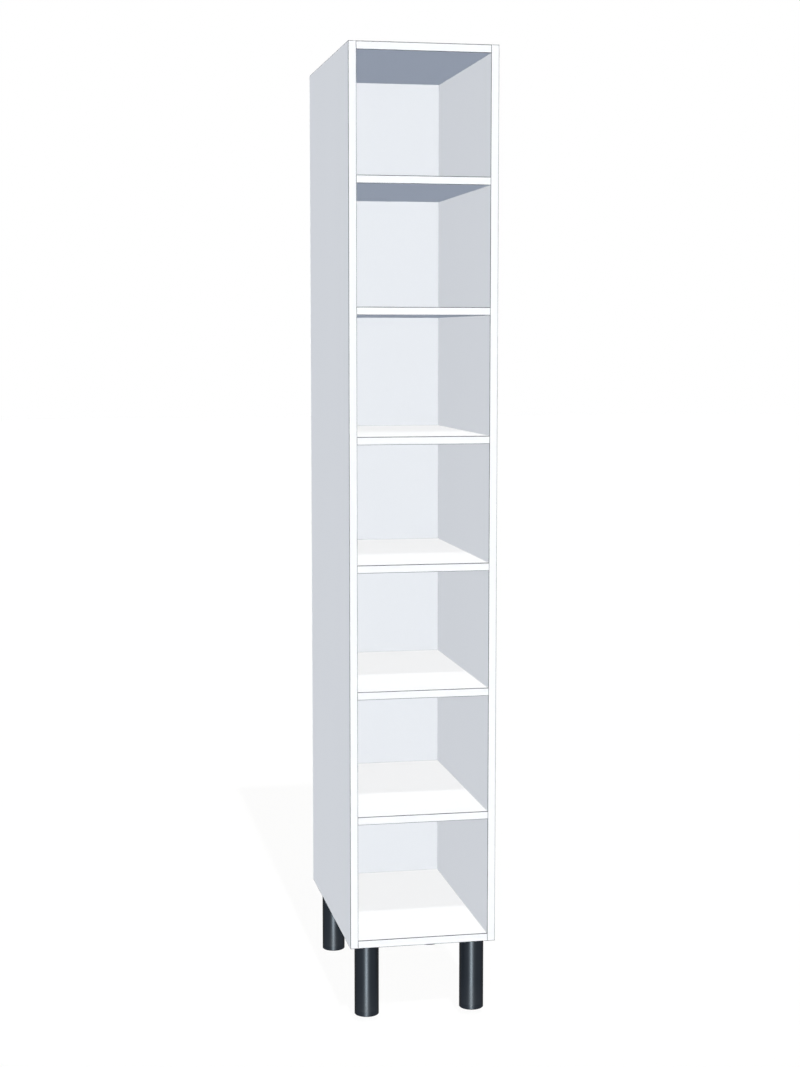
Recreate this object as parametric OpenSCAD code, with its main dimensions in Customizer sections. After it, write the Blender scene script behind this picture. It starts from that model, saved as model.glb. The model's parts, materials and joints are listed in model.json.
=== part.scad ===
// Open-front locker unit: seven open compartments on four round levelling legs.
// Origin on the floor, under the middle of the unit. +X is to the right seen from the
// front, the open front faces -Y, +Z is up.

/* [Carcass] */
// Width over both sides
unit_width = 300; // [260:10:600]
// Depth over the front edging
unit_depth = 510; // [400:10:600]
// Height of the carcass without its legs
carcass_height = 1800; // [1400:10:2100]
// Thickness of the sides, top, bottom and shelves
board_t = 16; // [15:0.5:22]
// Thickness of the glued edging strips
edging_t = 1; // [0.8:0.1:2]
// Radius of the edging's trimmed corners
edging_r = 0.5; // [0.1:0.1:0.7]

/* [Back panel] */
// Thickness of the back panel
back_t = 8; // [3:0.5:10]
// Distance from the rear edges of the carcass to the back panel
back_setback = 19; // [10:1:30]
// Depth of the grooves that hold the back panel
groove_depth = 6; // [4:0.5:10]

/* [Dowels] */
// Diameter of the dowels
dowel_d = 8; // [6:0.5:8.5]
// Length of the dowels
dowel_length = 30; // [25:1:40]
// How far each dowel stands in a side
dowel_in_side = 11; // [8:0.5:12]
// Distance from a shelf's front and rear edge to its outer dowels
shelf_dowel_inset = 50; // [30:1:80]
// Spacing between a cam and the dowel beside it
hole_pitch = 32; // [25:1:40]

/* [Cam fittings] */
// Diameter of a cam
cam_d = 15; // [14:0.5:18]
// Distance from a panel's end to the cam's axis
cam_reach = 34; // [24:1:40]
// Distance from the front and rear edges to the cams
cam_inset = 90; // [80:1:120]
// Length of a bolt's thread in the side
bolt_thread_length = 11; // [8:0.5:12]
// Diameter of a bolt's thread
bolt_thread_d = 5; // [4:0.5:6]
// Diameter of a bolt's head and collar
bolt_head_d = 6.6; // [6:0.1:7]
// Diameter of a bolt's neck
bolt_neck_d = 3.8; // [3:0.1:4.2]

/* [Legs] */
// Height of the carcass over the floor with the feet screwed in
leg_height = 150; // [100:5:200]
// Outer diameter of a leg tube
leg_d = 50; // [44:1:60]
// Wall of a leg tube
leg_wall = 1.5; // [1:0.1:2.5]
// Distance from a side's outer face to a leg's axis
leg_side_setback = 40; // [36:1:60]
// Distance from the front and rear edges to a leg's axis
leg_edge_setback = 40; // [36:1:55]
// Thickness of the screwed plate in a leg's top
plate_t = 3; // [2.5:0.5:5]
// Distance from the plate's rim to the rims of its screw heads
plate_rim = 4.6; // [2:0.1:6]
// Diameter of the plate screws
plate_screw_d = 4; // [3:0.5:4.5]
// Length of the plate screws
plate_screw_length = 12; // [10:0.5:16]
// Height of the moulded plug in a leg's top
top_plug_height = 16; // [12:1:24]
// Height of the moulded plug in a leg's foot
foot_plug_height = 22; // [18:1:30]
// Thickness of the foot plug's flange under the tube
flange_t = 2; // [1.5:0.5:4]

/* [Levelling feet] */
// Diameter of the thread in both plugs
thread_d = 10; // [8:0.5:12]
// Height of a foot pad
pad_height = 8; // [7:0.5:14]
// Travel of a foot
foot_travel = 15; // [10:1:20]
// Width across the flats of the levelling screw's hexagon
hexagon_af = 17; // [15:0.5:19]
// Height of the hexagon
hexagon_height = 5; // [4:0.5:7]

/* [Hidden] */
$fn = 64;

board_white = [0.95, 0.95, 0.96];
edging_white = [1, 1, 1];
leg_grey = [0.17, 0.19, 0.22];
zinc = [0.75, 0.76, 0.78];
beech = [0.85, 0.70, 0.50];

// Cuts run this far past the face that they open
past = 1;

// The fits, each on one side of a piece
back_clearance = 0.15;
shelf_back_gap = 0.5;
dowel_clearance = 0.05;
hole_bottom_gap = 1;
cam_clearance = 0.1;
bolt_head_gap = 0.1;
pocket_clearance = 0.3;
entry_clearance = 0.2;
slot_clearance = 0.5;
bolt_clearance = 0.4;
screw_clearance = 0.05;
plug_clearance = 0.1;
thread_clearance = 0.05;
plate_clearance = 0.4;
hexagon_clearance = 0.5;
hexagon_head_gap = 0.3;
rivet_clearance = 2;
rivet_floor_gap = 1.2;

// The compartments are equal
compartments = 7;
half_width = unit_width / 2;
half_depth = unit_depth / 2;
side_inner_x = half_width - board_t;
carcass_z = leg_height;
carcass_top_z = carcass_z + carcass_height;
compartment_pitch = (carcass_height - board_t) / compartments;
front_y = -half_depth;
board_front_y = front_y + edging_t;
back_rear_y = half_depth - back_setback;
back_front_y = back_rear_y - back_t;
shelf_rear_y = back_front_y - shelf_back_gap;

// The bolts' axes lie in the middle of the board, and the cams reach a little past them
cam_past_bolt = 4.5;
cam_height = board_t / 2 + cam_past_bolt;
cam_hole_depth = cam_height + cam_clearance;
cam_x = side_inner_x - cam_reach;
cam_ys = [front_y + cam_inset, half_depth - cam_inset];
cam_wall = 2.6;
cam_eccentricity = 0.6;
cam_rim = 3.5;
cam_pocket_r = cam_d / 2 - cam_wall;
cam_pocket_height = bolt_head_d + 2 * pocket_clearance;
cam_entry_d = bolt_head_d + 2 * entry_clearance;
cam_slot_height = bolt_neck_d + 2 * slot_clearance;
cam_slot_start = 150;
cam_slot_angle = 165;
cam_entry_angle = cam_slot_start + cam_slot_angle;
cam_cross_width = 1.6;
cam_cross_length = cam_d - 2 * cam_rim;
cam_cross_depth = 2.6;

// A bolt lies in a hole from the panel's end to the cam
bolt_hole_d = bolt_head_d + 2 * bolt_clearance;
bolt_collar_length = 3;
bolt_head_length = 1.4;
bolt_head_cone = 0.8;

side_hole_depth = dowel_in_side + hole_bottom_gap;
end_hole_depth = dowel_length - dowel_in_side + hole_bottom_gap;
dowel_chamfer = 1;
carcass_panel_zs = [carcass_z + board_t / 2, carcass_top_z - board_t / 2];
carcass_dowel_ys = [cam_ys[0] + hole_pitch, cam_ys[1] - hole_pitch];
shelf_dowel_ys = [
    front_y + shelf_dowel_inset,
    (front_y + shelf_rear_y) / 2,
    shelf_rear_y - shelf_dowel_inset
];

// A leg stands in each corner, named as seen from the front
legs = [
    ["front_left", -1, -1],
    ["front_right", 1, -1],
    ["rear_left", -1, 1],
    ["rear_right", 1, 1]
];
leg_x = half_width - leg_side_setback;
leg_y = half_depth - leg_edge_setback;
tube_inner_r = leg_d / 2 - leg_wall;
flange_z = pad_height;
tube_z = flange_z + flange_t;
plate_z = carcass_z - plate_t;
plate_r = tube_inner_r - plate_clearance;
centre_bolt_short = 2;
centre_bolt_length = top_plug_height - centre_bolt_short;
screw_head_r = plate_screw_d;
screw_head_height = screw_head_r - plate_screw_d / 2;
screw_point = 2;
plate_screw_circle_r = plate_r - plate_rim - screw_head_r;
plug_wall = 2.5;
plug_rib_t = 2;
plug_ribs = 6;
plug_floor_t = 3;
plug_hub_wall = 4;
plug_hub_r = thread_d / 2 + plug_hub_wall;

// The levelling screw is held in the foot pad by a riveted head under the pad's web
hexagon_r = hexagon_af / 2 / cos(30);
hexagon_pocket_r = hexagon_r + hexagon_clearance;
hexagon_pocket_depth = hexagon_height + hexagon_head_gap;
hexagon_pocket_roof = 2;
rivet_head_t = 1.8;
rivet_head_rim = 2.5;
rivet_head_r = thread_d / 2 + rivet_head_rim;
rivet_recess_depth = rivet_head_t + rivet_floor_gap;
rivet_recess_r = rivet_head_r + rivet_clearance;
pad_chamfer = 1;
foot_screw_end_z = flange_z + foot_plug_height + foot_travel;

// Height of the underside of a shelf, counted from the top
function shelf_z(number) = carcass_top_z - board_t - number * compartment_pitch;

// A rectangular board given by its lowest and highest corners
module board(low, high) {
    translate(low)
        cube(high - low);
}

// Edging strip along +Z: its back on y = 0, its trimmed corners towards -Y
module edging_strip(width, length) {
    flat = edging_t - edging_r;
    linear_extrude(length) {
        translate([-width / 2, -flat])
            square([width, flat]);
        translate([-width / 2 + edging_r, -edging_t])
            square([width - 2 * edging_r, edging_t]);
        for (end = [-1, 1])
            translate([end * (width / 2 - edging_r), -flat])
                circle(r = edging_r, $fn = 32);
    }
}

// Blind hole for a dowel from the mouth at x = 0 into +X
module dowel_hole(depth) {
    translate([-past, 0, 0])
        rotate([0, 90, 0])
            cylinder(d = dowel_d + 2 * dowel_clearance, h = depth + past);
}

// Left side with its holes and groove. The right side is its mirror image.
module side_board() {
    color(board_white)
    difference() {
        board(
            [-half_width, board_front_y, carcass_z + edging_t],
            [-side_inner_x, half_depth, carcass_top_z - edging_t]
        );
        board(
            [-side_inner_x - groove_depth, back_front_y - back_clearance, carcass_z - past],
            [-side_inner_x + past, back_rear_y + back_clearance, carcass_top_z + past]
        );
        for (z = carcass_panel_zs) {
            for (y = carcass_dowel_ys)
                translate([-side_inner_x, y, z])
                    mirror([1, 0, 0])
                        dowel_hole(side_hole_depth);
            for (y = cam_ys)
                translate([-side_inner_x - bolt_thread_length - hole_bottom_gap, y, z])
                    rotate([0, 90, 0])
                        cylinder(
                            d = bolt_thread_d + 2 * screw_clearance,
                            h = bolt_thread_length + hole_bottom_gap + past
                        );
        }
        for (number = [1 : compartments - 1])
            for (y = shelf_dowel_ys)
                translate([-side_inner_x, y, shelf_z(number) + board_t / 2])
                    mirror([1, 0, 0])
                        dowel_hole(side_hole_depth);
    }
}

// Bottom panel with its cam holes underneath. The top panel is the same board, turned over.
module carcass_panel() {
    difference() {
        board(
            [-side_inner_x, board_front_y, 0],
            [side_inner_x, half_depth, board_t]
        );
        board(
            [-side_inner_x - past, back_front_y - back_clearance, board_t - groove_depth],
            [side_inner_x + past, back_rear_y + back_clearance, board_t + past]
        );
        for (end = [0, 1])
            mirror([end, 0, 0]) {
                for (y = carcass_dowel_ys)
                    translate([-side_inner_x, y, board_t / 2])
                        dowel_hole(end_hole_depth);
                for (y = cam_ys) {
                    translate([-cam_x, y, -past])
                        cylinder(d = cam_d + 2 * cam_clearance, h = cam_hole_depth + past);
                    translate([-side_inner_x - past, y, board_t / 2])
                        rotate([0, 90, 0])
                            cylinder(d = bolt_hole_d, h = cam_reach + past);
                }
            }
    }
}

module bottom_panel() {
    color(board_white)
    difference() {
        translate([0, 0, carcass_z])
            carcass_panel();
        at_all_plate_screws()
            plate_screw_hole();
    }
}

module top_panel() {
    color(board_white)
    translate([0, 0, carcass_top_z])
        mirror([0, 0, 1])
            carcass_panel();
}

module shelf(number) {
    color(board_white)
    translate([0, 0, shelf_z(number)])
    difference() {
        board(
            [-side_inner_x, board_front_y, 0],
            [side_inner_x, shelf_rear_y, board_t]
        );
        for (end = [0, 1])
            mirror([end, 0, 0])
                for (y = shelf_dowel_ys)
                    translate([-side_inner_x, y, board_t / 2])
                        dowel_hole(end_hole_depth);
    }
}

// Back panel, held on all four sides in the grooves
module back_panel() {
    reach = groove_depth - 2 * back_clearance;
    color(board_white)
    board(
        [-side_inner_x - reach, back_front_y, carcass_z + board_t - reach],
        [side_inner_x + reach, back_rear_y, carcass_top_z - board_t + reach]
    );
}

// Strip down the whole front edge of the left side
module side_front_edging() {
    color(edging_white)
    translate([-half_width + board_t / 2, board_front_y, carcass_z])
        edging_strip(board_t, carcass_height);
}

// Strip along the left side's top edge
module side_top_edging() {
    color(edging_white)
    translate([-half_width + board_t / 2, board_front_y, carcass_top_z - edging_t])
        rotate([-90, 0, 0])
            edging_strip(board_t, unit_depth - edging_t);
}

// Strip along the left side's bottom edge
module side_bottom_edging() {
    color(edging_white)
    translate([-half_width + board_t / 2, half_depth, carcass_z + edging_t])
        rotate([90, 0, 0])
            edging_strip(board_t, unit_depth - edging_t);
}

// Strip along the front edge of a board whose underside is at z
module panel_edging(z) {
    color(edging_white)
    translate([-side_inner_x, board_front_y, z + board_t / 2])
        rotate([0, 90, 0])
            edging_strip(board_t, 2 * side_inner_x);
}

// Dowel along +X from x = 0, with a chamfer at both ends
module dowel() {
    dowel_r = dowel_d / 2;
    rotate([0, 90, 0])
        rotate_extrude()
            polygon([
                [0, 0],
                [dowel_r - dowel_chamfer, 0],
                [dowel_r, dowel_chamfer],
                [dowel_r, dowel_length - dowel_chamfer],
                [dowel_r - dowel_chamfer, dowel_length],
                [0, dowel_length]
            ]);
}

// Dowels in both ends of a board whose middle is at z
module dowel_pairs(ys, z) {
    color(beech)
    for (end = [0, 1], y = ys)
        mirror([end, 0, 0])
            translate([-side_inner_x - dowel_in_side, y, z])
                dowel();
}

module carcass_dowels() {
    for (z = carcass_panel_zs)
        dowel_pairs(carcass_dowel_ys, z);
}

module shelf_dowels() {
    for (number = [1 : compartments - 1])
        dowel_pairs(shelf_dowel_ys, shelf_z(number) + board_t / 2);
}

// Places a fitting at each cam of the bottom and top panels, its bolt towards -X
module at_each_cam() {
    for (end = [0, 1], y = cam_ys, turned = [0, 1])
        mirror([end, 0, 0])
            translate([-cam_x, y, turned ? carcass_top_z : carcass_z])
                mirror([0, 0, turned])
                    children();
}

// Cam with its cross recess on z = 0 and the bolt's axis in the middle of the board.
// The pocket lies off centre, towards the round entry at the slot's end, so that the
// wall behind the slot thickens as the cam turns and draws the bolt's head in.
module cam() {
    bolt_z = board_t / 2;
    difference() {
        cylinder(d = cam_d, h = cam_height);
        rotate([0, 0, cam_entry_angle])
            translate([cam_eccentricity, 0, bolt_z - cam_pocket_height / 2])
                cylinder(r = cam_pocket_r, h = cam_pocket_height);
        translate([0, 0, bolt_z - cam_slot_height / 2])
            rotate([0, 0, cam_slot_start])
                rotate_extrude(angle = cam_slot_angle)
                    translate([cam_pocket_r / 2, 0])
                        square([cam_d, cam_slot_height]);
        translate([0, 0, bolt_z])
            rotate([0, 90, cam_entry_angle])
                cylinder(d = cam_entry_d, h = cam_d);
        for (turn = [45, 135])
            rotate([0, 0, turn])
                translate([-cam_cross_length / 2, -cam_cross_width / 2, -past])
                    cube([cam_cross_length, cam_cross_width, cam_cross_depth + past]);
    }
}

module cams() {
    color(zinc)
    at_each_cam()
        cam();
}

// Bolt with its head against the wall of the cam's pocket and its thread in the side
module cam_bolt() {
    shoulder_x = -cam_reach;
    pocket_x = cam_eccentricity * cos(cam_entry_angle);
    pocket_y = cam_eccentricity * sin(cam_entry_angle);
    head_reach_y = bolt_head_d / 2 + abs(pocket_y);
    rim_x = pocket_x - sqrt(pow(cam_pocket_r, 2) - pow(head_reach_y, 2)) + bolt_head_gap;
    translate([0, 0, board_t / 2])
        rotate([0, 90, 0])
            rotate_extrude()
                polygon([
                    [0, shoulder_x - bolt_thread_length],
                    [bolt_thread_d / 2, shoulder_x - bolt_thread_length],
                    [bolt_thread_d / 2, shoulder_x],
                    [bolt_head_d / 2, shoulder_x],
                    [bolt_head_d / 2, shoulder_x + bolt_collar_length],
                    [bolt_neck_d / 2, shoulder_x + bolt_collar_length],
                    [bolt_neck_d / 2, rim_x - bolt_head_cone],
                    [bolt_head_d / 2, rim_x],
                    [bolt_head_d / 2, rim_x + bolt_head_length],
                    [0, rim_x + bolt_head_length]
                ]);
}

module cam_bolts() {
    color(zinc)
    at_each_cam()
        cam_bolt();
}

// Places a piece at a leg's axis, with x_sign -1 on the left and y_sign -1 at the front
module at_leg(x_sign, y_sign) {
    translate([x_sign * leg_x, y_sign * leg_y, 0])
        children();
}

// Places a piece at each screw of one leg's plate
module at_plate_screws() {
    for (turn = [45 : 90 : 315])
        rotate([0, 0, turn])
            translate([plate_screw_circle_r, 0, 0])
                children();
}

// Countersunk screw, its head flush with the plate's lower face
module plate_screw() {
    translate([0, 0, plate_z])
        rotate_extrude()
            polygon([
                [0, 0],
                [screw_head_r, 0],
                [plate_screw_d / 2, screw_head_height],
                [plate_screw_d / 2, plate_screw_length - screw_point],
                [0, plate_screw_length]
            ]);
}

// Room for one plate screw, open below the plate
module plate_screw_hole() {
    hole_r = plate_screw_d / 2 + screw_clearance;
    head_r = screw_head_r + screw_clearance;
    translate([0, 0, plate_z])
        rotate_extrude()
            polygon([
                [0, -past],
                [head_r, -past],
                [head_r, 0],
                [hole_r, screw_head_height],
                [hole_r, plate_screw_length + screw_clearance],
                [0, plate_screw_length + screw_clearance]
            ]);
}

module at_all_plate_screws() {
    for (x_sign = [-1, 1], y_sign = [-1, 1])
        at_leg(x_sign, y_sign)
            at_plate_screws()
                children();
}

module leg_screws() {
    color(zinc)
    at_all_plate_screws()
        plate_screw();
}

// Round plate under the bottom panel, with the bolt that the leg is screwed onto
module leg_plate() {
    color(zinc)
    difference() {
        union() {
            translate([0, 0, plate_z])
                cylinder(r = plate_r, h = plate_t);
            translate([0, 0, plate_z - centre_bolt_length])
                cylinder(d = thread_d, h = centre_bolt_length + plate_t / 2);
        }
        at_plate_screws()
            plate_screw_hole();
    }
}

// Moulded plug along +Z: floor, wall, hub and ribs, open at the far end
module plug(height) {
    plug_r = tube_inner_r - plug_clearance;
    difference() {
        cylinder(r = plug_r, h = height);
        translate([0, 0, plug_floor_t])
            difference() {
                cylinder(r = plug_r - plug_wall, h = height);
                cylinder(r = plug_hub_r, h = height);
                for (rib = [0 : plug_ribs - 1])
                    rotate([0, 0, rib * 360 / plug_ribs])
                        translate([0, -plug_rib_t / 2, 0])
                            cube([plug_r, plug_rib_t, height]);
            }
    }
}

module thread_bore(height) {
    translate([0, 0, -past])
        cylinder(d = thread_d + 2 * thread_clearance, h = height + 2 * past);
}

// Plug in the leg's top, its floor against the plate
module leg_top_plug() {
    color(leg_grey)
    translate([0, 0, plate_z])
        mirror([0, 0, 1])
            difference() {
                plug(top_plug_height);
                thread_bore(top_plug_height);
            }
}

module leg_tube() {
    color(leg_grey)
    translate([0, 0, tube_z])
        difference() {
            cylinder(d = leg_d, h = carcass_z - tube_z);
            translate([0, 0, -past])
                cylinder(r = tube_inner_r, h = carcass_z - tube_z + 2 * past);
        }
}

// Plug in the leg's lower end: its flange covers the tube's edge, and a pocket takes the hexagon
module leg_foot_plug() {
    color(leg_grey)
    translate([0, 0, flange_z])
        difference() {
            union() {
                cylinder(d = leg_d, h = flange_t);
                cylinder(r = hexagon_pocket_r + plug_wall, h = hexagon_pocket_depth + hexagon_pocket_roof);
                translate([0, 0, flange_t])
                    plug(foot_plug_height - flange_t);
            }
            translate([0, 0, -past])
                cylinder(r = hexagon_pocket_r, h = hexagon_pocket_depth + past);
            thread_bore(foot_plug_height);
        }
}

// Levelling screw: riveted head, hexagon and thread, free to turn in the pad
module foot_screw() {
    color(zinc) {
        translate([0, 0, rivet_recess_depth - rivet_head_t])
            cylinder(r = rivet_head_r, h = rivet_head_t);
        translate([0, 0, rivet_recess_depth])
            cylinder(d = thread_d, h = foot_screw_end_z - rivet_recess_depth);
        translate([0, 0, pad_height])
            cylinder(r = hexagon_r, h = hexagon_height, $fn = 6);
    }
}

// Foot pad, as wide as the leg, with a recess underneath for the riveted head
module foot_pad() {
    color(leg_grey)
    difference() {
        rotate_extrude()
            polygon([
                [0, 0],
                [leg_d / 2 - pad_chamfer, 0],
                [leg_d / 2, pad_chamfer],
                [leg_d / 2, pad_height],
                [0, pad_height]
            ]);
        translate([0, 0, -past])
            cylinder(r = rivet_recess_r, h = rivet_recess_depth + past);
        thread_bore(pad_height);
    }
}

side_board();  // side_left
mirror([1, 0, 0]) side_board();  // side_right
top_panel();
bottom_panel();
back_panel();
for (number = [1 : compartments - 1]) {
    shelf(number);
    panel_edging(shelf_z(number));
}
panel_edging(carcass_top_z - board_t);  // top_front_edging
panel_edging(carcass_z);  // bottom_front_edging
for (side = [["left", 0], ["right", 1]]) {
    mirror([side[1], 0, 0]) side_front_edging();
    mirror([side[1], 0, 0]) side_top_edging();
    mirror([side[1], 0, 0]) side_bottom_edging();
}
cams();
cam_bolts();
carcass_dowels();
shelf_dowels();
leg_screws();
for (leg = legs) {
    at_leg(leg[1], leg[2]) leg_plate();
    at_leg(leg[1], leg[2]) leg_top_plug();
    at_leg(leg[1], leg[2]) leg_tube();
    at_leg(leg[1], leg[2]) leg_foot_plug();
    at_leg(leg[1], leg[2]) foot_screw();
    at_leg(leg[1], leg[2]) foot_pad();
}
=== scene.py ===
"""Finishes, levelling screws, light and camera for the open-front locker unit."""
import json
import math

import bpy
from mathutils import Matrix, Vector


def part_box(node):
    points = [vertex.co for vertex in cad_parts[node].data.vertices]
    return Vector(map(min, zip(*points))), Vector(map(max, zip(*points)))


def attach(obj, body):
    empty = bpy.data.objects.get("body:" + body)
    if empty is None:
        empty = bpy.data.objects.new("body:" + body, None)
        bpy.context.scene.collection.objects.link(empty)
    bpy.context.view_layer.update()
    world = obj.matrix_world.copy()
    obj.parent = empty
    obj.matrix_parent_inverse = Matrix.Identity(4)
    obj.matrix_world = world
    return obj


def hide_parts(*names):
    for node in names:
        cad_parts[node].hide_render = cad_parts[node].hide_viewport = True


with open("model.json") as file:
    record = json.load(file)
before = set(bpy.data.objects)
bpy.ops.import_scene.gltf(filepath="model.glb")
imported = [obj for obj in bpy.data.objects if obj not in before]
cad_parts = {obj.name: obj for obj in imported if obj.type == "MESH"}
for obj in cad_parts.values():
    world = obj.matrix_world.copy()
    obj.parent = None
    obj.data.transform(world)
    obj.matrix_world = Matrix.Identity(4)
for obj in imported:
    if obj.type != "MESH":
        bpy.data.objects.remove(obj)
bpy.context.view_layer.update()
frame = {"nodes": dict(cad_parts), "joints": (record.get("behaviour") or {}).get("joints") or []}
nodes = frame["nodes"]

MM = 0.001
LEGS = ("front_left", "front_right", "rear_left", "rear_right")
SHELVES = range(1, 7)
SIDES = ("left", "right")
FLOORS = ["bottom_panel"] + [f"shelf_{number}" for number in SHELVES]
AXES = "xyz"

# The levelling screw's pieces from below upwards, with the feet screwed in
RIVET_R = 7.5 * MM
RIVET_LOW_Z = 1.2 * MM
RIVET_ROUNDING = 0.5 * MM
RIVET_ROUNDING_STEPS = 4
SCREW_R = 5 * MM
SCREW_LOW_Z = 3 * MM
HEXAGON_SIDES = 6
HEXAGON_FLATS = 17 * MM
HEXAGON_LOW_Z = 8 * MM
HEXAGON_CHAMFER = 0.6 * MM
THREAD_LOW_Z = 13 * MM
THREAD_PITCH = 1.5 * MM
THREAD_DEPTH = 0.9 * MM
SCREW_TOP_Z = 45 * MM
SCREW_TIP_CHAMFER = 0.8 * MM

# The dimple's rings from the head's rim inwards: how wide each is, and how far it goes in
DIMPLE_RINGS = ((3.4 * MM, 0.0), (0.5 * MM, 0.35 * MM), (1.2 * MM, 0.35 * MM))

# How the pieces of the screw reach into each other, so that none shows a gap
RIVET_LAP = 0.1 * MM
NECK_LAP = 1 * MM

# The cone that turns the hexagon's corners down ends this far inside its flats, and its
# widest part is this much wider than the hexagon's corners, so that it leaves them alone
CONE_INSIDE_FLATS = 0.2 * MM
CONE_OVER_CORNERS = 1.002

# The thread's ridge has a triangle as its section. Its width is a share of the pitch, a share
# of its depth stands clear of the core, and the thread's ends are left plain for some turns.
RIDGE_CORNERS = 3
RIDGE_WIDTH = 0.9
RIDGE_ABOVE_CORE = 0.92
PLAIN_TURNS = 2

# Corners of the round pieces, and how upright a level face's normal is at least
BAR_CORNERS = 48
THREAD_CORNERS = 28
CONE_CORNERS = 72
UPRIGHT = 0.99
SMOOTH_ANGLE = math.radians(30)

# Widths of the fine lines along the boards' joints and the strips' corners. The glue line is the
# joint's own colour.
# The lines on the strips' corners and ends are painted shade. On a level strip's upper corner this
# shade is painted wider, most of all on strips above a set height. The lines in the joints beside
# the sides and along the floors are painted shadow.
WIDE_SHADE_HEIGHT = 0.9
GLUE_LINE = 0.8 * MM
CORNER_SHADE = 0.9 * MM
SIDE_CORNER_SHADE = 0.8 * MM
UPPER_CORNER_SHADE = 1.1 * MM
HIGH_UPPER_CORNER_SHADE = 1.35 * MM
BUTT_SHADE = 0.15 * MM
SHADOW_LINE_WIDTH = 0.5 * MM

# How dark the painted shadow lines in the joints are, as shares of their grey
BOARD_SHADOW_LINE = 0.7
BACK_SHADOW_LINE = 0.45

# Thickness of the boards' white skin, and how near a face its own look begins
MELAMINE_SKIN = 0.3 * MM
FACE_DEPTH = 0.05 * MM

# Sockets of the Mix node that take and give colours
MIX_FIRST = 6
MIX_SECOND = 7
MIX_RESULT = 2


def srgb(red, green, blue):
    """Linear colour of a colour in 0 to 255 steps of a picture, by the sRGB standard's curve."""
    def linear(step):
        share = step / 255
        if share <= 0.04045:
            return share / 12.92
        return ((share + 0.055) / 1.055) ** 2.4
    return (linear(red), linear(green), linear(blue), 1.0)


class Varied:
    """A value that varies over a surface. Its operators add Math nodes."""

    def __init__(self, shading, socket):
        self.shading = shading
        self.socket = socket

    def math(self, operation, *values):
        inputs = dict(enumerate(values))
        return self.shading.node("ShaderNodeMath", {"operation": operation}, inputs)

    def __add__(self, other):
        return self.math("ADD", self, other)

    __radd__ = __add__

    def __sub__(self, other):
        return self.math("SUBTRACT", self, other)

    def __rsub__(self, other):
        return self.math("SUBTRACT", other, self)

    def __mul__(self, other):
        return self.math("MULTIPLY", self, other)

    __rmul__ = __mul__

    def __truediv__(self, other):
        return self.math("DIVIDE", self, other)

    def __rtruediv__(self, other):
        return self.math("DIVIDE", other, self)

    def __abs__(self):
        return self.math("ABSOLUTE", self)

    def __gt__(self, other):
        return self.math("GREATER_THAN", self, other)

    def __lt__(self, other):
        return self.math("LESS_THAN", self, other)

    def least(self, other):
        return self.math("MINIMUM", self, other)

    def most(self, other):
        return self.math("MAXIMUM", self, other)

    def near(self, target, width):
        """1 where the value lies within a width of the target, else 0."""
        return abs(self - target) < width


class Shading:
    """The nodes of a material or a world, around the shader and the output it comes with."""

    def __init__(self, owner, shader, output):
        owner.use_nodes = True
        self.tree = owner.node_tree
        self.shader = self.tree.nodes[shader]
        self.output = self.tree.nodes[output]

    def node(self, kind, settings=None, inputs=None, output=0):
        """Adds a node: its settings first, then the values or links of its sockets."""
        node = self.tree.nodes.new(kind)
        for name, value in (settings or {}).items():
            if name == "stops":
                self.fill_ramp(node.color_ramp, value)
            else:
                setattr(node, name, value)
        for name, value in (inputs or {}).items():
            self.feed(node.inputs[name], value)
        return Varied(self, node.outputs[output])

    def fill_ramp(self, ramp, stops):
        while len(ramp.elements) < len(stops):
            ramp.elements.new(1.0)
        for element, (position, colour) in zip(ramp.elements, stops):
            element.position = position
            element.color = colour

    def feed(self, socket, value):
        if isinstance(value, Varied):
            self.tree.links.new(value.socket, socket)
        else:
            socket.default_value = value

    def set_shader(self, values):
        """Values or links of the shader's own sockets."""
        for name, value in values.items():
            self.feed(self.shader.inputs[name], value)

    def ray(self, kind):
        """1 for the rays of this kind, else 0."""
        return self.node("ShaderNodeLightPath", output=f"Is {kind} Ray")

    def shader_mix(self, share, first, second):
        """Mixes two shaders."""
        return self.node("ShaderNodeMixShader", {}, {0: share, 1: first, 2: second})

    def show(self, surface):
        """Takes this shader as what is seen."""
        self.feed(self.output.inputs["Surface"], surface)


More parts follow.
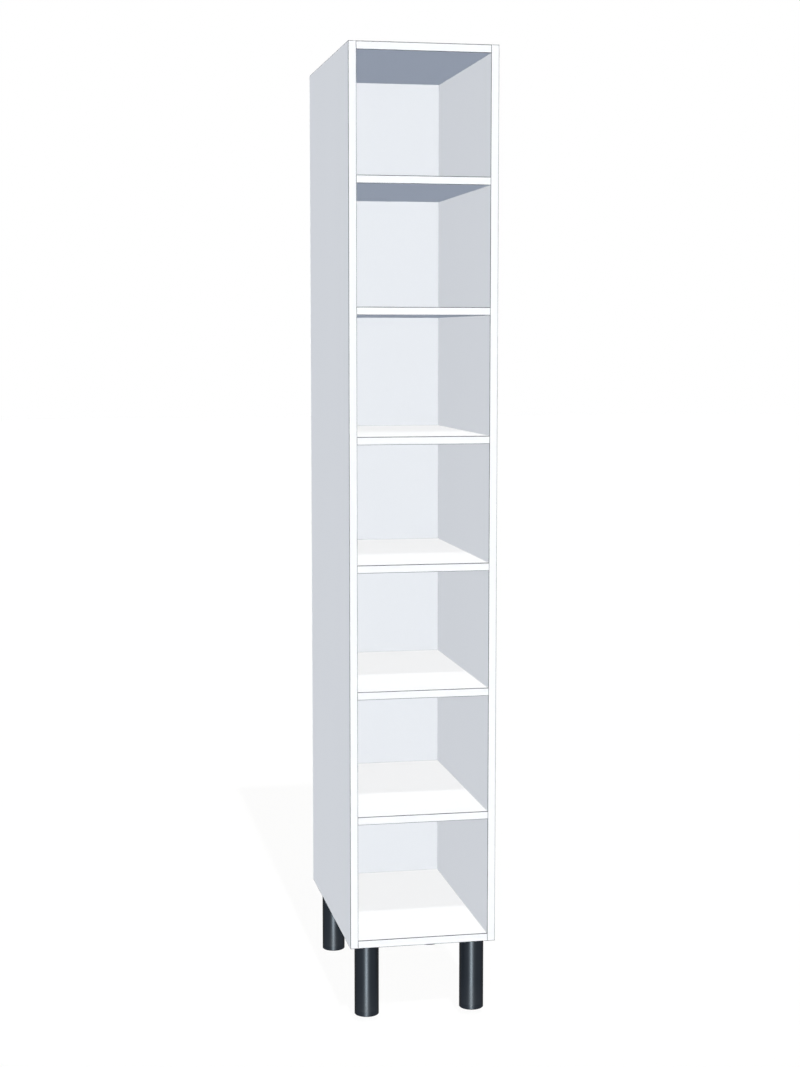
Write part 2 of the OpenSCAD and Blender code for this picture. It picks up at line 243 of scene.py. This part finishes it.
class Finish(Shading):
    """One material, built up from the surface's place in the unit."""

    def __init__(self, name):
        self.material = bpy.data.materials.new(name)
        super().__init__(self.material, "Principled BSDF", "Material Output")
        self.place = self.node("ShaderNodeTexCoord", output="Object")
        split = self.node("ShaderNodeSeparateXYZ", {}, {"Vector": self.place}).socket.node
        self.x, self.y, self.z = (Varied(self, socket) for socket in split.outputs)

    def stretched(self, x=1.0, y=1.0, z=1.0):
        """The place with each direction stretched, so that a pattern runs one way."""
        inputs = {0: self.place, 1: (x, y, z)}
        return self.node("ShaderNodeVectorMath", {"operation": "MULTIPLY"}, inputs)

    def noise(self, scale, detail=2.0, roughness=0.5, place=None):
        inputs = {
            "Vector": place or self.place, "Scale": scale, "Detail": detail, "Roughness": roughness
        }
        return self.node("ShaderNodeTexNoise", {}, inputs)

    def chips(self, scale, place):
        """A different grey for each cell, as chips pressed into a board have."""
        inputs = {"Vector": place, "Scale": scale}
        cell = self.node("ShaderNodeTexVoronoi", {}, inputs, output="Color")
        return self.node("ShaderNodeSeparateColor", {}, {"Color": cell})

    def ramp(self, value, stops):
        return self.node("ShaderNodeValToRGB", {"stops": stops}, {"Fac": value})

    def mix(self, share, first, second):
        """Mixes two colours."""
        inputs = {0: share, MIX_FIRST: first, MIX_SECOND: second}
        return self.node("ShaderNodeMix", {"data_type": "RGBA"}, inputs, output=MIX_RESULT)

    def bump(self, height, strength, distance, below=None):
        """Normal of a bumpy surface. Where there is a bump below, this one adds to it."""
        inputs = {"Height": height, "Strength": strength, "Distance": distance}
        if below:
            inputs["Normal"] = below
        return self.node("ShaderNodeBump", {}, inputs)

    def surface(self, colour, roughness, normal, constants=None):
        self.set_shader({"Base Color": colour, "Roughness": roughness, "Normal": normal})
        self.set_shader(constants or {})
        return self.material


def dress(piece, material):
    """Gives the whole piece one material."""
    if not piece.data.materials:
        piece.data.materials.append(material)
    for held in piece.material_slots:
        held.material = material


def only(*pieces):
    """Selects these pieces alone, the last one active."""
    bpy.ops.object.select_all(action="DESELECT")
    for piece in pieces:
        piece.select_set(True)
    bpy.context.view_layer.objects.active = pieces[-1]


def edit_level_faces(piece, up):
    """Enters edit mode with the level faces selected that look up (1) or down (-1)."""
    only(piece)
    bpy.ops.object.mode_set(mode="EDIT")
    bpy.ops.mesh.select_mode(type="FACE")
    bpy.ops.mesh.select_all(action="DESELECT")
    bpy.ops.object.mode_set(mode="OBJECT")
    for face in piece.data.polygons:
        face.select = face.normal.z * up > UPRIGHT
    bpy.ops.object.mode_set(mode="EDIT")


def apply_transforms():
    """Moves what is selected into its own mesh, so that it stands where it was made."""
    bpy.ops.object.transform_apply(location=True, rotation=True, scale=True)


def apply_modifiers(piece):
    """Makes the piece's modifiers part of its mesh."""
    only(piece)
    for modifier in list(piece.modifiers):
        bpy.ops.object.modifier_apply(modifier=modifier.name)


def round_bar(radius, low_z, high_z, corners):
    """Upright bar on the Z axis."""
    bpy.ops.object.select_all(action="DESELECT")
    bpy.ops.mesh.primitive_cylinder_add(
        vertices=corners, radius=radius, depth=high_z - low_z, location=(0, 0, (low_z + high_z) / 2)
    )
    apply_transforms()
    return bpy.context.active_object


def riveted_head():
    """Head under the pad's web: rounded rim, and a dimple from the riveting punch."""
    piece = round_bar(RIVET_R, RIVET_LOW_Z, SCREW_LOW_Z + RIVET_LAP, BAR_CORNERS)
    edit_level_faces(piece, -1)
    bpy.ops.mesh.bevel(offset=RIVET_ROUNDING, segments=RIVET_ROUNDING_STEPS, affect="EDGES")
    bpy.ops.object.mode_set(mode="OBJECT")
    edit_level_faces(piece, -1)
    for width, depth in DIMPLE_RINGS:
        bpy.ops.mesh.inset(thickness=width, depth=-depth)
    bpy.ops.object.mode_set(mode="OBJECT")
    return piece


def hexagon():
    """Hexagon for the spanner, its corners turned down to a cone above and below."""
    half_side = math.pi / HEXAGON_SIDES
    corner_r = HEXAGON_FLATS / 2 / math.cos(half_side)
    piece = round_bar(corner_r, HEXAGON_LOW_Z, THREAD_LOW_Z, HEXAGON_SIDES)
    piece.rotation_euler.z = half_side
    apply_transforms()
    cone_r = corner_r * CONE_OVER_CORNERS
    cone_low_z = HEXAGON_LOW_Z + HEXAGON_CHAMFER
    cone_high_z = THREAD_LOW_Z - HEXAGON_CHAMFER
    cones = round_bar(cone_r, cone_low_z, cone_high_z, CONE_CORNERS)
    end_share = (HEXAGON_FLATS / 2 - CONE_INSIDE_FLATS) / cone_r
    for up in (-1, 1):
        edit_level_faces(cones, up)
        move = {"value": (0, 0, up * HEXAGON_CHAMFER)}
        bpy.ops.mesh.extrude_region_move(TRANSFORM_OT_translate=move)
        bpy.ops.transform.resize(value=(end_share, end_share, 1))
        bpy.ops.object.mode_set(mode="OBJECT")
    cut = piece.modifiers.new("turned corners", "BOOLEAN")
    cut.operation = "INTERSECT"
    cut.solver = "EXACT"
    cut.object = cones
    apply_modifiers(piece)
    bpy.data.objects.remove(cones)
    return piece


def thread_ridge():
    """Ridge of the thread: a triangle wound up the screw, closed at both ends."""
    bpy.ops.object.select_all(action="DESELECT")
    bpy.ops.mesh.primitive_circle_add(
        vertices=RIDGE_CORNERS, radius=1, fill_type="NOTHING",
        rotation=(math.pi / 2, math.pi / 2, 0)
    )
    piece = bpy.context.active_object
    apply_transforms()
    # Size of a triangle that stands in a circle of radius 1
    triangle_depth = 1.5
    triangle_width = math.sqrt(3)
    depth_scale = THREAD_DEPTH / triangle_depth
    piece.scale = (depth_scale, 1, THREAD_PITCH * RIDGE_WIDTH / triangle_width)
    piece.location = (SCREW_R - depth_scale, 0, THREAD_LOW_Z + THREAD_PITCH)
    apply_transforms()
    wound = piece.modifiers.new("wound", "SCREW")
    wound.angle = 2 * math.pi
    wound.screw_offset = THREAD_PITCH
    wound.iterations = round((SCREW_TOP_Z - THREAD_LOW_Z) / THREAD_PITCH) - PLAIN_TURNS
    wound.steps = THREAD_CORNERS
    wound.render_steps = THREAD_CORNERS
    wound.use_merge_vertices = False
    apply_modifiers(piece)
    bpy.ops.object.mode_set(mode="EDIT")
    bpy.ops.mesh.select_all(action="SELECT")
    bpy.ops.mesh.fill_holes(sides=RIDGE_CORNERS)
    bpy.ops.mesh.normals_make_consistent(inside=False)
    bpy.ops.object.mode_set(mode="OBJECT")
    return piece


def make_levelling_screw():
    """Levelling screw on the Z axis: riveted head, neck, hexagon and thread."""
    core_r = SCREW_R - THREAD_DEPTH * RIDGE_ABOVE_CORE
    neck = round_bar(SCREW_R, SCREW_LOW_Z, HEXAGON_LOW_Z + NECK_LAP, BAR_CORNERS)
    core = round_bar(core_r, THREAD_LOW_Z - NECK_LAP, SCREW_TOP_Z, THREAD_CORNERS)
    edit_level_faces(core, 1)
    bpy.ops.mesh.bevel(offset=SCREW_TIP_CHAMFER, segments=1, affect="EDGES")
    bpy.ops.object.mode_set(mode="OBJECT")
    screw = hexagon()
    only(riveted_head(), neck, core, thread_ridge(), screw)
    bpy.ops.object.join()
    bpy.ops.object.shade_smooth_by_angle(angle=SMOOTH_ANGLE)
    return screw


def fit_levelling_screws(material):
    """One levelling screw in each leg, with its real thread, in place of the plain solid."""
    pattern = make_levelling_screw()
    dress(pattern, material)
    for leg in LEGS:
        low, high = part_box(f"foot_screw_{leg}")
        only(pattern)
        bpy.ops.object.duplicate(linked=False)
        screw = bpy.context.active_object
        screw.name = f"levelling_screw_{leg}"
        screw.location = ((low.x + high.x) / 2, (low.y + high.y) / 2, 0)
        apply_transforms()
        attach(screw, f"screw_{leg}")
        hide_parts(f"foot_screw_{leg}")
    bpy.data.objects.remove(pattern)


# Colours of the finishes, and how strongly the boards and the legs reflect
BOARD_WHITE = srgb(245, 246, 248)
BOARD_WHITE_DEEP = srgb(241, 242, 244)
STRIP_WHITE = srgb(251, 250, 250)
STRIP_WHITE_DEEP = srgb(248, 248, 248)
# Grey of the glue line, which is the joint's own colour, and of the painted shade lines on the
# strips' corners and ends
GLUE_AND_SHADE_GREY = srgb(52, 55, 60)
# Grey of the painted shadow lines in the joints
SHADOW_LINE_GREY = srgb(120, 124, 130)
CHIP_STOPS = [
    (0.0, srgb(140, 114, 84)),
    (0.25, srgb(178, 152, 118)),
    (0.6, srgb(202, 179, 146)),
    (1.0, srgb(226, 208, 178)),
]
SATIN = {"Specular IOR Level": 0.0, "Coat Weight": 0.04, "Coat Roughness": 0.5}
DARK_GLOSS = srgb(70, 74, 80)

# Height over which dust thins out on the tubes
DUST_HEIGHT = 60 * MM


def melamine(finish):
    """Colour, roughness and normal of the faced board's fine pearl grain."""
    cloud = finish.noise(scale=2.2, detail=3)
    pearl = finish.noise(scale=1400, roughness=0.6)
    soft = finish.noise(scale=260)
    share = cloud * 0.55 + pearl * 0.35 + soft * 0.1
    colour = finish.mix(share, BOARD_WHITE_DEEP, BOARD_WHITE)
    handling = finish.noise(scale=9, detail=4, roughness=0.6, place=finish.stretched(y=0.35))
    roughness = 0.46 + handling * 0.12 + pearl * 0.06
    normal = finish.bump(pearl * 0.6 + soft * 0.4, strength=0.22, distance=0.05 * MM)
    return colour, roughness, normal


def raw_chipboard(finish, along):
    """Colour of a sawn edge: chips pressed flat along the board."""
    grain = finish.stretched(**{along: 0.3})
    chips = finish.chips(620, grain)
    dust = finish.noise(scale=2600, roughness=0.7, place=grain)
    return finish.ramp(chips * 0.75 + dust * 0.35 - 0.05, CHIP_STOPS)


def board_finish(node, thin):
    """White faced board with its glue line at the front, its raw sawn edge at the rear, and on a
    level board a painted shadow line at each end.

    thin names the direction of the board's thickness."""
    low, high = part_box(node)
    finish = Finish(f"faced_board_{node}")
    colour, roughness, normal = melamine(finish)
    middle = (low + high) / 2
    half = (high - low) / 2
    axis = AXES.index(thin)
    to_face = half[axis] - abs(getattr(finish, thin) - middle[axis])
    sawn = raw_chipboard(finish, along="z" if thin == "x" else "x")
    behind = finish.y > high.y - FACE_DEPTH
    core = behind * (to_face > MELAMINE_SKIN)
    glue = finish.y < low.y + GLUE_LINE
    colour = finish.mix(glue, colour, GLUE_AND_SHADE_GREY)
    # Painted shadow line along a level board's ends, in its joints with the sides
    if thin == "z":
        shadow_line = half.x - abs(finish.x - middle.x) < SHADOW_LINE_WIDTH
        colour = finish.mix(shadow_line * BOARD_SHADOW_LINE, colour, SHADOW_LINE_GREY)
    colour = finish.mix(core, colour, sawn)
    roughness = roughness + core * 0.45
    pits = finish.noise(scale=900, detail=3, roughness=0.7)
    normal = finish.bump(pits * core, strength=0.6, distance=0.25 * MM, below=normal)
    return finish.surface(colour, roughness, normal, SATIN)


def back_finish():
    """White back panel, with a painted fine shadow line along the sides and along each floor."""
    finish = Finish("faced_back")
    colour, roughness, normal = melamine(finish)
    # Painted shadow lines where the sides and the floors meet the back panel
    inner_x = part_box("side_right")[0].x
    shadow_line = abs(finish.x).near(inner_x, SHADOW_LINE_WIDTH)
    front_face = finish.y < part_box("back_panel")[0].y + FACE_DEPTH
    for board in FLOORS:
        floor_shadow_line = finish.z.near(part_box(board)[1].z, SHADOW_LINE_WIDTH)
        shadow_line = shadow_line.most(floor_shadow_line * front_face)
    colour = finish.mix(shadow_line * BACK_SHADOW_LINE, colour, SHADOW_LINE_GREY)
    return finish.surface(colour, roughness, normal, SATIN)


def strip_finish(node):
    """White edging strip: even face, fine draw lines along it, and painted shade as dark lines
    along its corners and ends.
    """
    low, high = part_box(node)
    size = high - low
    middle = (low + high) / 2
    finish = Finish(f"edging_{node}")
    places = (finish.x, finish.y, finish.z)
    # The axes of the strip's width and of its length, which follow its thickness in size
    wide, along = sorted(range(len(AXES)), key=lambda axis: size[axis])[1:]
    to_corner = size[wide] / 2 - abs(places[wide] - middle[wide])
    to_end = size[along] / 2 - abs(places[along] - middle[along])
    lengthwise = finish.stretched(**{AXES[along]: 0.01})
    drawn = finish.noise(scale=1500, roughness=0.6, place=lengthwise)
    cloud = finish.noise(scale=6, detail=3)
    speck = finish.noise(scale=1800, roughness=0.6)
    share = cloud * 0.5 + drawn * 0.3 + speck * 0.2
    colour = finish.mix(share, STRIP_WHITE_DEEP, STRIP_WHITE)
    # Painted shade: dark lines along the strip's corners and ends, with their darkness varied at
    # random
    shade_variation = 0.75 + finish.noise(scale=70, detail=4, roughness=0.6) * 0.4
    if node.startswith("side_"):
        corner_shade = to_corner.least(to_end) < SIDE_CORNER_SHADE
    else:
        width = HIGH_UPPER_CORNER_SHADE if high.z > WIDE_SHADE_HEIGHT else UPPER_CORNER_SHADE
        corner_shade = (to_corner < CORNER_SHADE).most(finish.z > high.z - width)
        corner_shade = corner_shade.most(to_end < BUTT_SHADE)
    corner_shade = corner_shade * shade_variation
    colour = finish.mix(corner_shade, colour, GLUE_AND_SHADE_GREY)
    roughness = 0.42 + drawn * 0.1 + corner_shade * 0.2
    normal = finish.bump(drawn * 0.6 + speck * 0.4, strength=0.2, distance=0.04 * MM)
    return finish.surface(colour, roughness, normal, SATIN)


def leg_finish():
    """Dark powder coat on the steel tubes: a slight orange peel, paler dust at the foot."""
    finish = Finish("powder_coat")
    peel = finish.noise(scale=420)
    grain = finish.noise(scale=2400, roughness=0.6)
    cloud = finish.noise(scale=14, detail=3)
    colour = finish.mix(cloud * 0.6 + grain * 0.4, srgb(36, 41, 47), srgb(44, 49, 56))
    patches = finish.noise(scale=60, detail=4, roughness=0.65)
    dust = (1 - finish.z / DUST_HEIGHT).most(0.0) * patches
    colour = finish.mix(dust * 0.1, colour, srgb(96, 98, 100))
    roughness = 0.345 + cloud * 0.05 + grain * 0.04 + dust * 0.1
    normal = finish.bump(peel * 0.7 + grain * 0.3, strength=0.18, distance=0.12 * MM)
    gloss = {"Metallic": 0.75, "Specular Tint": DARK_GLOSS}
    return finish.surface(colour, roughness, normal, gloss)


def moulded_finish():
    """Dark moulded plastic of the plugs and pads, with a fine spark-eroded grain."""
    finish = Finish("moulded_plastic")
    grain = finish.noise(scale=2000, detail=3, roughness=0.65)
    cloud = finish.noise(scale=20, detail=3)
    colour = finish.mix(cloud * 0.5 + grain * 0.5, srgb(35, 40, 46), srgb(45, 50, 57))
    scuff = finish.noise(scale=160, detail=4, roughness=0.7, place=finish.stretched(z=0.2))
    roughness = 0.38 + grain * 0.08
    normal = finish.bump(grain, strength=0.25, distance=0.05 * MM)
    colour = finish.mix((scuff > 0.66) * 0.12, colour, srgb(110, 112, 114))
    gloss = {"Metallic": 0.7, "Specular Tint": DARK_GLOSS}
    return finish.surface(colour, roughness, normal, gloss)


def zinc_finish(name, pale, deep, drawn):
    """Zinc-plated steel: cloudy plating, marks drawn out upwards, dull spots."""
    finish = Finish(name)
    marks = finish.noise(scale=900, detail=3, roughness=0.6, place=finish.stretched(z=drawn))
    cloud = finish.noise(scale=180, detail=3, roughness=0.6)
    dull = finish.noise(scale=700, roughness=0.6)
    colour = finish.mix(cloud * 0.6 + marks * 0.4, deep, pale)
    roughness = 0.24 + dull * 0.2 + marks * 0.08
    normal = finish.bump(marks * 0.6 + dull * 0.4, strength=0.25, distance=0.05 * MM)
    return finish.surface(colour, roughness, normal, {"Metallic": 1.0})


def beech_finish():
    """Beech dowels: long grain and short dark flecks along X."""
    finish = Finish("beech_dowels")
    grain = finish.noise(scale=420, detail=4, roughness=0.6, place=finish.stretched(x=0.04))
    flecks = finish.noise(scale=1500, detail=1, place=finish.stretched(x=0.2))
    colour = finish.mix(grain, srgb(196, 152, 104), srgb(226, 190, 146))
    colour = finish.mix((flecks > 0.64) * 0.5, colour, srgb(150, 106, 68))
    roughness = 0.6 + grain * 0.15
    normal = finish.bump(grain, strength=0.4, distance=0.15 * MM)
    return finish.surface(colour, roughness, normal)


def dress_the_frame():
    """Gives every node its finish. Returns the bright zinc, for the levelling screws."""
    for side in SIDES:
        dress(nodes[f"side_{side}"], board_finish(f"side_{side}", "x"))
    for board in ["top_panel"] + FLOORS:
        dress(nodes[board], board_finish(board, "z"))
    dress(nodes["back_panel"], back_finish())
    for name in nodes:
        if name.endswith("_edging"):
            dress(nodes[name], strip_finish(name))
    bright_zinc = zinc_finish("bright_zinc", srgb(214, 216, 220), srgb(186, 188, 193), drawn=0.1)
    cast_zinc = zinc_finish("cast_zinc", srgb(190, 191, 194), srgb(160, 161, 165), drawn=1.0)
    beech = beech_finish()
    powder_coat = leg_finish()
    plastic = moulded_finish()
    dress(nodes["cams"], cast_zinc)
    dress(nodes["cam_bolts"], bright_zinc)
    dress(nodes["leg_screws"], bright_zinc)
    dress(nodes["carcass_dowels"], beech)
    dress(nodes["shelf_dowels"], beech)
    for leg in LEGS:
        dress(nodes[f"leg_plate_{leg}"], bright_zinc)
        dress(nodes[f"leg_tube_{leg}"], powder_coat)
        dress(nodes[f"leg_top_plug_{leg}"], plastic)
        dress(nodes[f"leg_foot_plug_{leg}"], plastic)
        dress(nodes[f"foot_pad_{leg}"], plastic)
    return bright_zinc


# The studio's floor. Its glow is the share of it that the camera sees as plain white.
WHITE = (1, 1, 1, 1)
FLOOR_COLOUR = (0.9, 0.9, 0.9, 1)
FLOOR_GLOW = 0.7
FLOOR_SIZE = 60
FLOOR_CLEARANCE = 0.1 * MM

# The sky, the key lamp's height and the lamps' tints
SKY_COLOUR = (0.9, 0.95, 1.0, 1)
SKY_LEVEL = 0.02
KEY_ELEVATION = math.radians(50.7)
FRONT_TINT = (0.945, 0.971, 1.0)
SIDE_TINT = (0.917, 0.949, 1.0)
ABOVE_TINT = (1.0, 0.988, 0.965)
BELOW_TINT = (0.661, 0.778, 1.0)
STREAK_TINT = (1.0, 0.95, 0.83)


def plain_floor():
    """Pale floor that keeps the unit's faint shadow. It lies where the feet reach when they
    are screwed right out. It is plain white in reflections, and it isn't seen from below,
    so that the unit's underside is."""
    floor_z = -frame["joints"][0]["range_m"][1] - FLOOR_CLEARANCE
    bpy.ops.mesh.primitive_plane_add(size=FLOOR_SIZE, location=(0, 0, floor_z))
    floor = bpy.context.active_object
    floor.name = "studio_floor"
    finish = Finish("studio_floor")
    finish.set_shader({"Base Color": FLOOR_COLOUR, "Roughness": 1.0, "Specular IOR Level": 0.0})
    glow = (finish.ray("Camera") * FLOOR_GLOW).most(finish.ray("Glossy"))
    glow = glow.most(finish.ray("Transmission"))
    white = finish.node("ShaderNodeEmission", {}, {"Color": WHITE, "Strength": 1.0})
    lit = Varied(finish, finish.shader.outputs[0])
    below = finish.node("ShaderNodeNewGeometry", output="Backfacing")
    clear = finish.node("ShaderNodeBsdfTransparent")
    finish.show(finish.shader_mix(below, finish.shader_mix(glow, lit, white), clear))
    dress(floor, finish.material)


def white_surroundings():
    """White for the eye and in reflections; a weak, even sky as light."""
    world = bpy.data.worlds.new("studio")
    bpy.context.scene.world = world
    shading = Shading(world, "Background", "World Output")
    shading.set_shader({"Color": SKY_COLOUR, "Strength": SKY_LEVEL})
    sky = Varied(shading, shading.shader.outputs[0])
    white = shading.node("ShaderNodeBackground", {}, {"Color": WHITE, "Strength": 1.0})
    seen = shading.ray("Camera").most(shading.ray("Glossy")).most(shading.ray("Transmission"))
    shading.show(shading.shader_mix(seen, sky, white))


def lamp(name, toward, level, tint=(1, 1, 1), spread=0.0, casts_shadow=False, reaches="colour"):
    """Distant lamp. At level 1 it alone shows a white face that it meets squarely as white.

    reaches says what it lights of a surface: its colour, its gloss or both."""
    light = bpy.data.lights.new(name, "SUN")
    light.energy = level * math.pi
    light.color = tint
    light.angle = math.radians(spread)
    light.use_shadow = casts_shadow
    light.cycles.use_multiple_importance_sampling = casts_shadow
    light.cycles.max_bounces = 0
    holder = bpy.data.objects.new(name, light)
    holder.visible_diffuse = "colour" in reaches
    holder.visible_glossy = "gloss" in reaches
    holder.rotation_euler = Vector(toward).to_track_quat("-Z", "Y").to_euler()
    bpy.context.scene.collection.objects.link(holder)


def studio_light():
    """One key lamp from the front and above, soft lamps that fill each direction, and two
    that only draw the streaks on the legs. The streak lamp that shines forward from behind
    is exactly level, because otherwise the undersides or the floors flare."""
    key_toward = (0, math.cos(KEY_ELEVATION), -math.sin(KEY_ELEVATION))
    lamp("key", key_toward, level=0.165, spread=0.5, casts_shadow=True, reaches="colour and gloss")
    lamp("front", (0.2, 1, -0.1), level=0.865, tint=FRONT_TINT, spread=4)
    lamp("leg_streak", (0.2, 0.97, 0.33), level=1.43, tint=STREAK_TINT, spread=3, reaches="gloss")
    lamp("rear_streak", (0, -1, 0), level=2.2, tint=STREAK_TINT, reaches="gloss")
    lamp("left", (1, 0, 0), level=0.563, tint=SIDE_TINT, spread=50)
    lamp("right", (-1, 0, 0), level=0.67, tint=SIDE_TINT, spread=50)
    lamp("above", (0, 0, -1), level=0.8, tint=ABOVE_TINT)
    lamp("below", (0, 0, 1), level=0.309, tint=BELOW_TINT)
    lamp("rear", (0, -1, 0), level=0.75, tint=FRONT_TINT)


# The camera that the photo was fitted with, in the unit's frame. Its angles are in radians,
# and its focal length is in pixels of a picture of that height.
CAMERA_PLACE = (-0.7684, -3.9404, 1.3779)
CAMERA_YAW = 0.193014885
CAMERA_PITCH = -0.102128653
CAMERA_FOCAL = 1899.52
PICTURE_HEIGHT = 1067
SENSOR_WIDTH = 36


def place_camera():
    data = bpy.data.cameras.new("camera")
    data.sensor_width = SENSOR_WIDTH
    data.lens = CAMERA_FOCAL / PICTURE_HEIGHT * SENSOR_WIDTH
    camera = bpy.data.objects.new("camera", data)
    camera.location = CAMERA_PLACE
    camera.rotation_euler = (math.pi / 2 + CAMERA_PITCH, 0, -CAMERA_YAW)
    bpy.context.scene.collection.objects.link(camera)
    bpy.context.scene.camera = camera


place_camera()
white_surroundings()
studio_light()
plain_floor()
fit_levelling_screws(dress_the_frame())
bpy.context.scene.view_settings.view_transform = "Standard"
